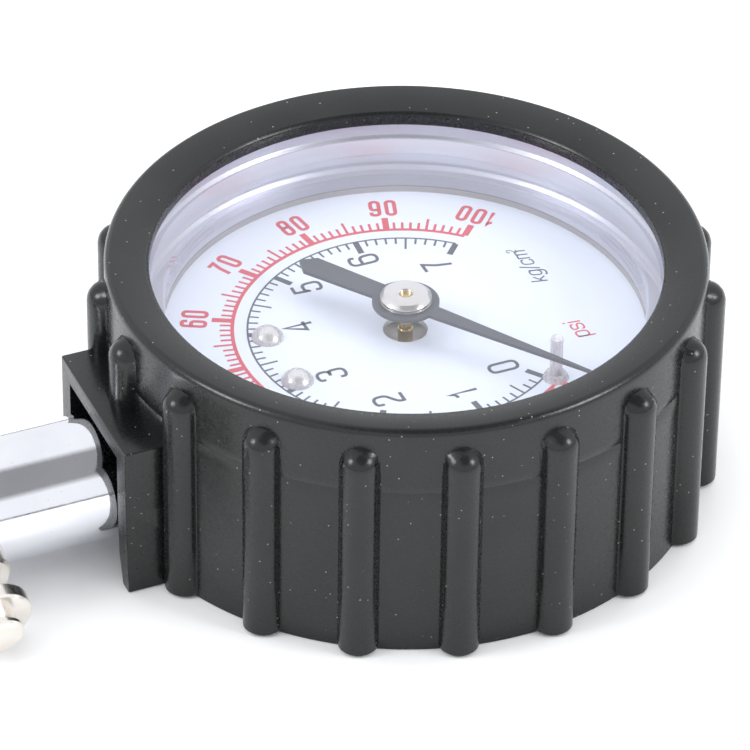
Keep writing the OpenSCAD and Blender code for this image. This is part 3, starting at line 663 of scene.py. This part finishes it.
# Strokes of the glyphs: closed or not, then corners. A corner is x in half widths, y in heights
# above the base line, and its rounding in half widths.
GLYPHS = {
    "0": [(True, (-1, 0, 1), (1, 0, 1), (1, 1, 1), (-1, 1, 1))],
    "1": [(False, (-0.75, 0.76, 0), (0.1, 0.8, 0.5), (0.3, 1, 0), (0.3, 0, 0))],
    "2": [(False, (-1, 0.72, 0), (-1, 1, 1), (1, 1, 1), (1, 0.55, 0.6), (-1, 0.2, 0.8), (-1, 0, 0),
           (1, 0, 0))],
    "3": [(False, (-1, 0.78, 0), (-1, 1, 1), (1, 1, 1), (1, 0.54, 1), (-0.2, 0.54, 0)),
          (False, (0.3, 0.53, 0), (1, 0.53, 0.7), (1, 0, 1), (-1, 0, 1), (-1, 0.24, 0))],
    "4": [(False, (0.5, 0, 0), (0.5, 1, 0), (-1, 0.28, 0), (1.15, 0.28, 0))],
    "5": [(False, (0.85, 1, 0), (-0.75, 1, 0), (-0.95, 0.48, 0.1), (-0.6, 0.63, 0.3), (1, 0.63, 1),
           (1, 0, 1), (-1, 0, 1), (-1, 0.24, 0))],
    "6": [(False, (1, 0.78, 0), (1, 1, 1), (-1, 1, 1), (-1, 0, 1), (1, 0, 1), (1, 0.6, 1),
           (-0.75, 0.6, 0))],
    "7": [(False, (-1, 1, 0), (1, 1, 0), (0.1, 0.55, 0.4), (-0.35, 0, 0))],
    "8": [(True, (-1, 0, 1), (1, 0, 1), (1, 0.46, 0.3), (0.8, 0.53, 0.1), (0.95, 0.6, 0.3), (0.95, 1, 1),
           (-0.95, 1, 1), (-0.95, 0.6, 0.3), (-0.8, 0.53, 0.1), (-1, 0.46, 0.3)),
          (False, (-0.7, 0.53, 0), (0.7, 0.53, 0))],
    "9": [(False, (-1, 0.22, 0), (-1, 0, 1), (1, 0, 1), (1, 1, 1), (-1, 1, 1), (-1, 0.4, 1),
           (0.75, 0.4, 0))],
    "p": [(False, (-1, -0.3, 0), (-1, 0.7, 0)), (True, (-1, 0, 1), (1, 0, 1), (1, 0.7, 1), (-1, 0.7, 1))],
    "s": [(False, (0.9, 0.52, 0), (0.9, 0.7, 1), (-1, 0.7, 1), (-1, 0.36, 0.8), (1, 0.34, 0.8),
           (1, 0, 1), (-1, 0, 1), (-1, 0.17, 0))],
    "i": [(False, (0, 0, 0), (0, 0.7, 0)), (False, (0, 0.86, 0), (0, 1, 0))],
    "k": [(False, (-1, 0, 0), (-1, 1, 0)), (False, (0.9, 0.7, 0), (-0.9, 0.27, 0)),
          (False, (-0.3, 0.4, 0), (1, 0, 0))],
    "g": [(True, (-1, 0, 1), (1, 0, 1), (1, 0.7, 1), (-1, 0.7, 1)),
          (False, (1, 0.7, 0), (1, -0.3, 1), (-1, -0.3, 1), (-1, -0.15, 0))],
    "/": [(False, (-0.6, -0.1, 0), (0.6, 1.05, 0))],
    "c": [(False, (1, 0.52, 0), (1, 0.7, 1), (-1, 0.7, 1), (-1, 0, 1), (1, 0, 1), (1, 0.18, 0))],
    "m": [(False, (-1.7, 0, 0), (-1.7, 0.7, 0), (0, 0.7, 1), (0, 0, 0)),
          (False, (0, 0.6, 0), (0, 0.7, 0), (1.7, 0.7, 1), (1.7, 0, 0))],
}


def soften_glyph(points, half, height):
    """A glyph's stroke as a smooth run of points, in metres from the middle of the line."""
    place = [Vector((x * half, (y - 0.5) * height)) for x, y, _ in points]
    out = []
    for i, (_, _, turn) in enumerate(points):
        if turn:
            after = place[(i + 1) % len(points)]
            out += soft_corner(place[i - 1], place[i], after, turn * half, most=0.495, steps=6)
        else:
            out.append(place[i])
    return out


def by_step(value, ten, five, one):
    """The choice for a tick at a multiple of ten, else of five, else any other."""
    if value % 10 == 0:
        return ten
    return five if value % 5 == 0 else one


def print_psi():
    """The outer red scale, 0 to 100, with a tick each psi from 4 up."""
    ink = Print()
    line_in = 16 * MM
    line_out = 16.35 * MM
    ink.band(ZERO_MARK, 50 * PSI_STEP, line_in, line_out, 180)
    for psi in [0, *range(4, 101)]:
        angle = (psi - 50) * PSI_STEP if psi else ZERO_MARK
        outer = by_step(psi, 18.15, 18.1, 17.35) * MM
        width = by_step(psi, 0.62, 0.25, 0.25) * MM
        ink.bar(angle, line_out, outer, width)
        if psi % 10 == 0:
            flip = math.pi if psi in (0, 100) else 0
            ink.write(str(psi), clock(angle, 19.8 * MM), 2.6 * MM, RED_STYLE, angle + flip)
    ink.write("psi", Vector((-6.1 * MM, -14.8 * MM)), 1.9 * MM, UNIT_STYLE, slant=0.1)
    ink.make("psi_print", RED_INK)


def print_metric():
    """The inner grey scale, 0 to 7 kilograms per square centimetre, with a tick each tenth from 3 up."""
    ink = Print()
    line_in = 14.66 * MM
    line_out = 14.84 * MM
    ink.band(ZERO_MARK, METRIC_ZERO + METRIC_STEP * 7, line_in, line_out, 180)
    for tenth in [0, *range(3, 71)]:
        angle = METRIC_ZERO + METRIC_STEP * tenth / 10 if tenth else ZERO_MARK
        inner = by_step(tenth, 12.85, 12.95, 13.8) * MM
        width = by_step(tenth, 0.58, 0.2, 0.2) * MM
        ink.bar(angle, inner, line_in, width)
    middles = [(-8.9, -6.05), (-11.4, -1.0), (-9.5, 5.8), (-4.0, 9.15),
               (4.05, 9.1), (9.6, 6.0), (11.7, -0.7), (8.25, -6.9)]
    for number, (x, y) in enumerate(middles):
        ink.write(str(number), Vector((x * MM, y * MM)), 3.05 * MM, GREY_STYLE)
    ink.write("kg/cm", Vector((4.9 * MM, -14.8 * MM)), 1.7 * MM, UNIT_STYLE, slant=0.2)
    ink.write("2", Vector((7.7 * MM, -14.3 * MM)), 0.95 * MM, UNIT_STYLE, slant=0.2)
    ink.make("metric_print", GREY_INK)


# ---------------------------------------------------------------- turned metal on the dial


def make_hub():
    """The nickel hub: a chamfered cap with grooves round its side, and the boss under the pointer.

    The two outlines are (radius, height) in millimetres, from the hub's foot and the cap's foot.
    """
    low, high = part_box("pointer_hub")
    cap_h = 0.84
    boss = [(0.6, 0), (1.5, 0), (1.7, 0.2), (1.7, 1.0), (1.2, 1.0), (1.2, 1.35)]
    cap = [(2.3, 0.0), (2.42, 0.05), (2.42, 0.15), (2.3, 0.19), (2.3, 0.25), (2.43, 0.3), (2.43, 0.5),
           (2.05, cap_h), (0.72, cap_h), (0.6, cap_h - 0.1)]
    profile = [(r * MM, low.z + z * MM) for r, z in boss]
    profile += [(r * MM, high.z + (z - cap_h) * MM) for r, z in cap]
    hub = turned_ring("hub_cap", profile, NICKEL, steps=128, bevel=0.03 * MM)
    settle(hub, "pointer_set", "nickel", "pointer_hub")


def make_dial_screws():
    """Two polished domes on short shanks."""
    low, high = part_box("dial_screws")
    head_r = 1.55 * MM
    shank_r = 0.8 * MM
    head_h = high.z - DIAL_Z
    ball = (head_r**2 + head_h**2) / (2 * head_h)
    rise = math.degrees(math.asin((ball - head_h) / ball))
    dome = arc_points((0, DIAL_Z + head_h - ball), ball, rise, 89, 12)
    profile = [(0, low.z), (shank_r, low.z), (shank_r, DIAL_Z), (head_r - 0.1 * MM, DIAL_Z)]
    profile += dome[:-1] + [(0, high.z)]
    for side, name in ((low.x + head_r, "dial_screw_left"), (high.x - head_r, "dial_screw_right")):
        screw = turned(name, profile, SATIN, steps=64)
        screw.location = (side, (low.y + high.y) / 2, 0)
        settle(screw, "gauge", "chrome", "dial_screws")


# ---------------------------------------------------------------- floor, light and camera


# The light tent is bright all round, but for a grey opening high up, on the camera's side, and a
# thin line along the floor. The opening's edges are the cosines of two angles from its middle, and
# the line's are the sines of two angles above the floor. The line's light is a share of the tent's.
TENT_BRIGHT = 1.15
OPENING_LIGHT = 0.38
OPENING_MIDDLE = (-0.45, 0, 0.89)
OPENING_EDGES = (0.83, 0.90)
LINE_LIGHT = 0.25
LINE_EDGES = (0.03, 0.06)


def make_floor():
    """A large sheet of pale paper, just under the boot."""
    reach = 3.0
    under = -0.1 * MM
    corners = ((-reach, -reach), (reach, -reach), (reach, reach), (-reach, reach))
    paper = finish("paper", (0.93, 0.935, 0.94), (0.91, 0.915, 0.92), (0.6, 0.75), grain=0.4,
                   patches=0.002, relief=0.002, Specular_IOR_Level=0.2)
    floor = add_mesh("floor", [(x, y, under) for x, y in corners], [[0, 1, 2, 3]], paper)


def make_tent():
    """The light tent, as the world's background: its light depends on the direction alone."""
    world = bpy.data.worlds.new("studio")
    SCENE.world = world
    world.use_nodes = True
    tree = world.node_tree
    back = tree.nodes["Background"]
    back.inputs["Color"].default_value = (0.97, 0.98, 1.0, 1)
    outward = add_node(tree, "ShaderNodeTexCoord").outputs["Generated"]
    heights = add_node(tree, "ShaderNodeSeparateXYZ")
    tree.links.new(outward, heights.inputs["Vector"])
    towards = add_node(tree, "ShaderNodeVectorMath", operation="DOT_PRODUCT")
    towards.inputs[1].default_value = OPENING_MIDDLE
    tree.links.new(outward, towards.inputs[0])
    both = add_node(tree, "ShaderNodeMath", operation="MULTIPLY")
    opening = spread(tree, towards.outputs["Value"], TENT_BRIGHT, OPENING_LIGHT, *OPENING_EDGES)
    line = spread(tree, heights.outputs["Z"], LINE_LIGHT, 1, *LINE_EDGES)
    tree.links.new(opening, both.inputs[0])
    tree.links.new(line, both.inputs[1])
    tree.links.new(both.outputs[0], back.inputs["Strength"])


def add_light(name, spot, size, power, seen=True):
    """A square lamp, size metres wide and aimed at the boot, which gloss shows if seen."""
    target = Vector((0, 0, 0.015))
    lamp = bpy.data.lights.new(name, "AREA")
    lamp.shape = "SQUARE"
    lamp.size = size
    lamp.energy = power
    holder = bpy.data.objects.new(name, lamp)
    SCENE.collection.objects.link(holder)
    holder.location = spot
    holder.rotation_euler = (target - Vector(spot)).to_track_quat("-Z", "Y").to_euler()
    holder.visible_glossy = seen


def make_lights():
    """Two small windows that gloss shows, out of the lens's mirror direction, and a plain ceiling lamp."""
    add_light("left_window", (0.05, 0.75, 0.5), 0.3, 2.6)
    add_light("right_window", (-0.52, -0.54, 0.5), 0.3, 2.6)
    add_light("ceiling", (0, 0, 1.0), 1.6, 7.5, seen=False)


def make_camera():
    """A long lens beside the stem and 37 degrees up, at the photo's angle."""
    azimuth = math.radians(-113.498)
    elevation = math.radians(36.537)
    roll = math.radians(0.749)
    distance = 0.50909
    target = Vector((-5.582 * MM, 5.452 * MM, DIAL_Z))
    back = Vector((math.sin(azimuth) * math.cos(elevation),
                   -math.cos(azimuth) * math.cos(elevation), math.sin(elevation)))
    right = (-back).cross(Vector((0, 0, 1))).normalized()
    up = right.cross(-back)
    right_rolled = math.cos(roll) * right + math.sin(roll) * up
    up_rolled = math.cos(roll) * up - math.sin(roll) * right
    lens = bpy.data.cameras.new("camera")
    lens.sensor_width = 36
    lens.lens = 264.49
    lens.clip_start = 0.01
    lens.clip_end = 10
    camera = bpy.data.objects.new("camera", lens)
    SCENE.collection.objects.link(camera)
    turn = Matrix((right_rolled, up_rolled, back)).transposed().to_4x4()
    camera.matrix_world = Matrix.Translation(target + back * distance) @ turn
    SCENE.camera = camera


# ---------------------------------------------------------------- carried-over CAD nodes

FINISHES = {
    "case_cup": STEEL, "lens_gasket": GREY_SEAL, "dial_plate": DIAL_WHITE, "stop_pin": CLOUDY,
    "socket_block": BRASS, "sealing_washer": FIBRE, "bourdon_tube": BRONZE, "tube_tip_cap": BRASS,
    "tip_pin": STEEL, "movement_bottom_plate": BRASS, "movement_top_plate": BRIGHT_PLATE,
    "movement_pillars": BRASS, "plate_screws": STEEL, "bottom_screws": STEEL, "sector_gear": BRASS,
    "sector_arbor": STEEL, "sector_pin": STEEL, "link": NICKEL, "pinion_arbor": BRASS,
    "hairspring": SPRING_STEEL, "hairspring_collet": BRASS, "hairspring_stud": BRASS,
    "pointer": SLATE, "stem_tube": CHROME, "bleed_valve_body": NICKEL, "bleed_button": NICKEL,
    "bleed_plunger": BRASS, "bleed_spring": SPRING_STEEL, "bleed_seal": BLACK_SEAL,
    "check_poppet": BRASS, "check_spring": SPRING_STEEL, "swivel_nipple": NICKEL,
    "swivel_oring": BLACK_SEAL, "swivel_clip": SPRING_STEEL, "chuck_body": CHROME,
    "chuck_seal": BLACK_SEAL, "chuck_nose": NICKEL, "depressor_pin": BRASS,
}


def dress_nodes():
    """Gives each CAD node that stays in view its finish, and smooths its round faces."""
    for name, material in FINISHES.items():
        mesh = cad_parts[name].data
        mesh.materials.clear()
        mesh.materials.append(material)
        shade(mesh, crease=32)


# The photo's tones are plain ones, with no film curve.
SCENE.view_settings.view_transform = "Standard"

make_camera()
make_floor()
make_tent()
make_lights()
dress_nodes()
make_boot()
make_lens()
print_psi()
print_metric()
make_hub()
make_dial_screws()
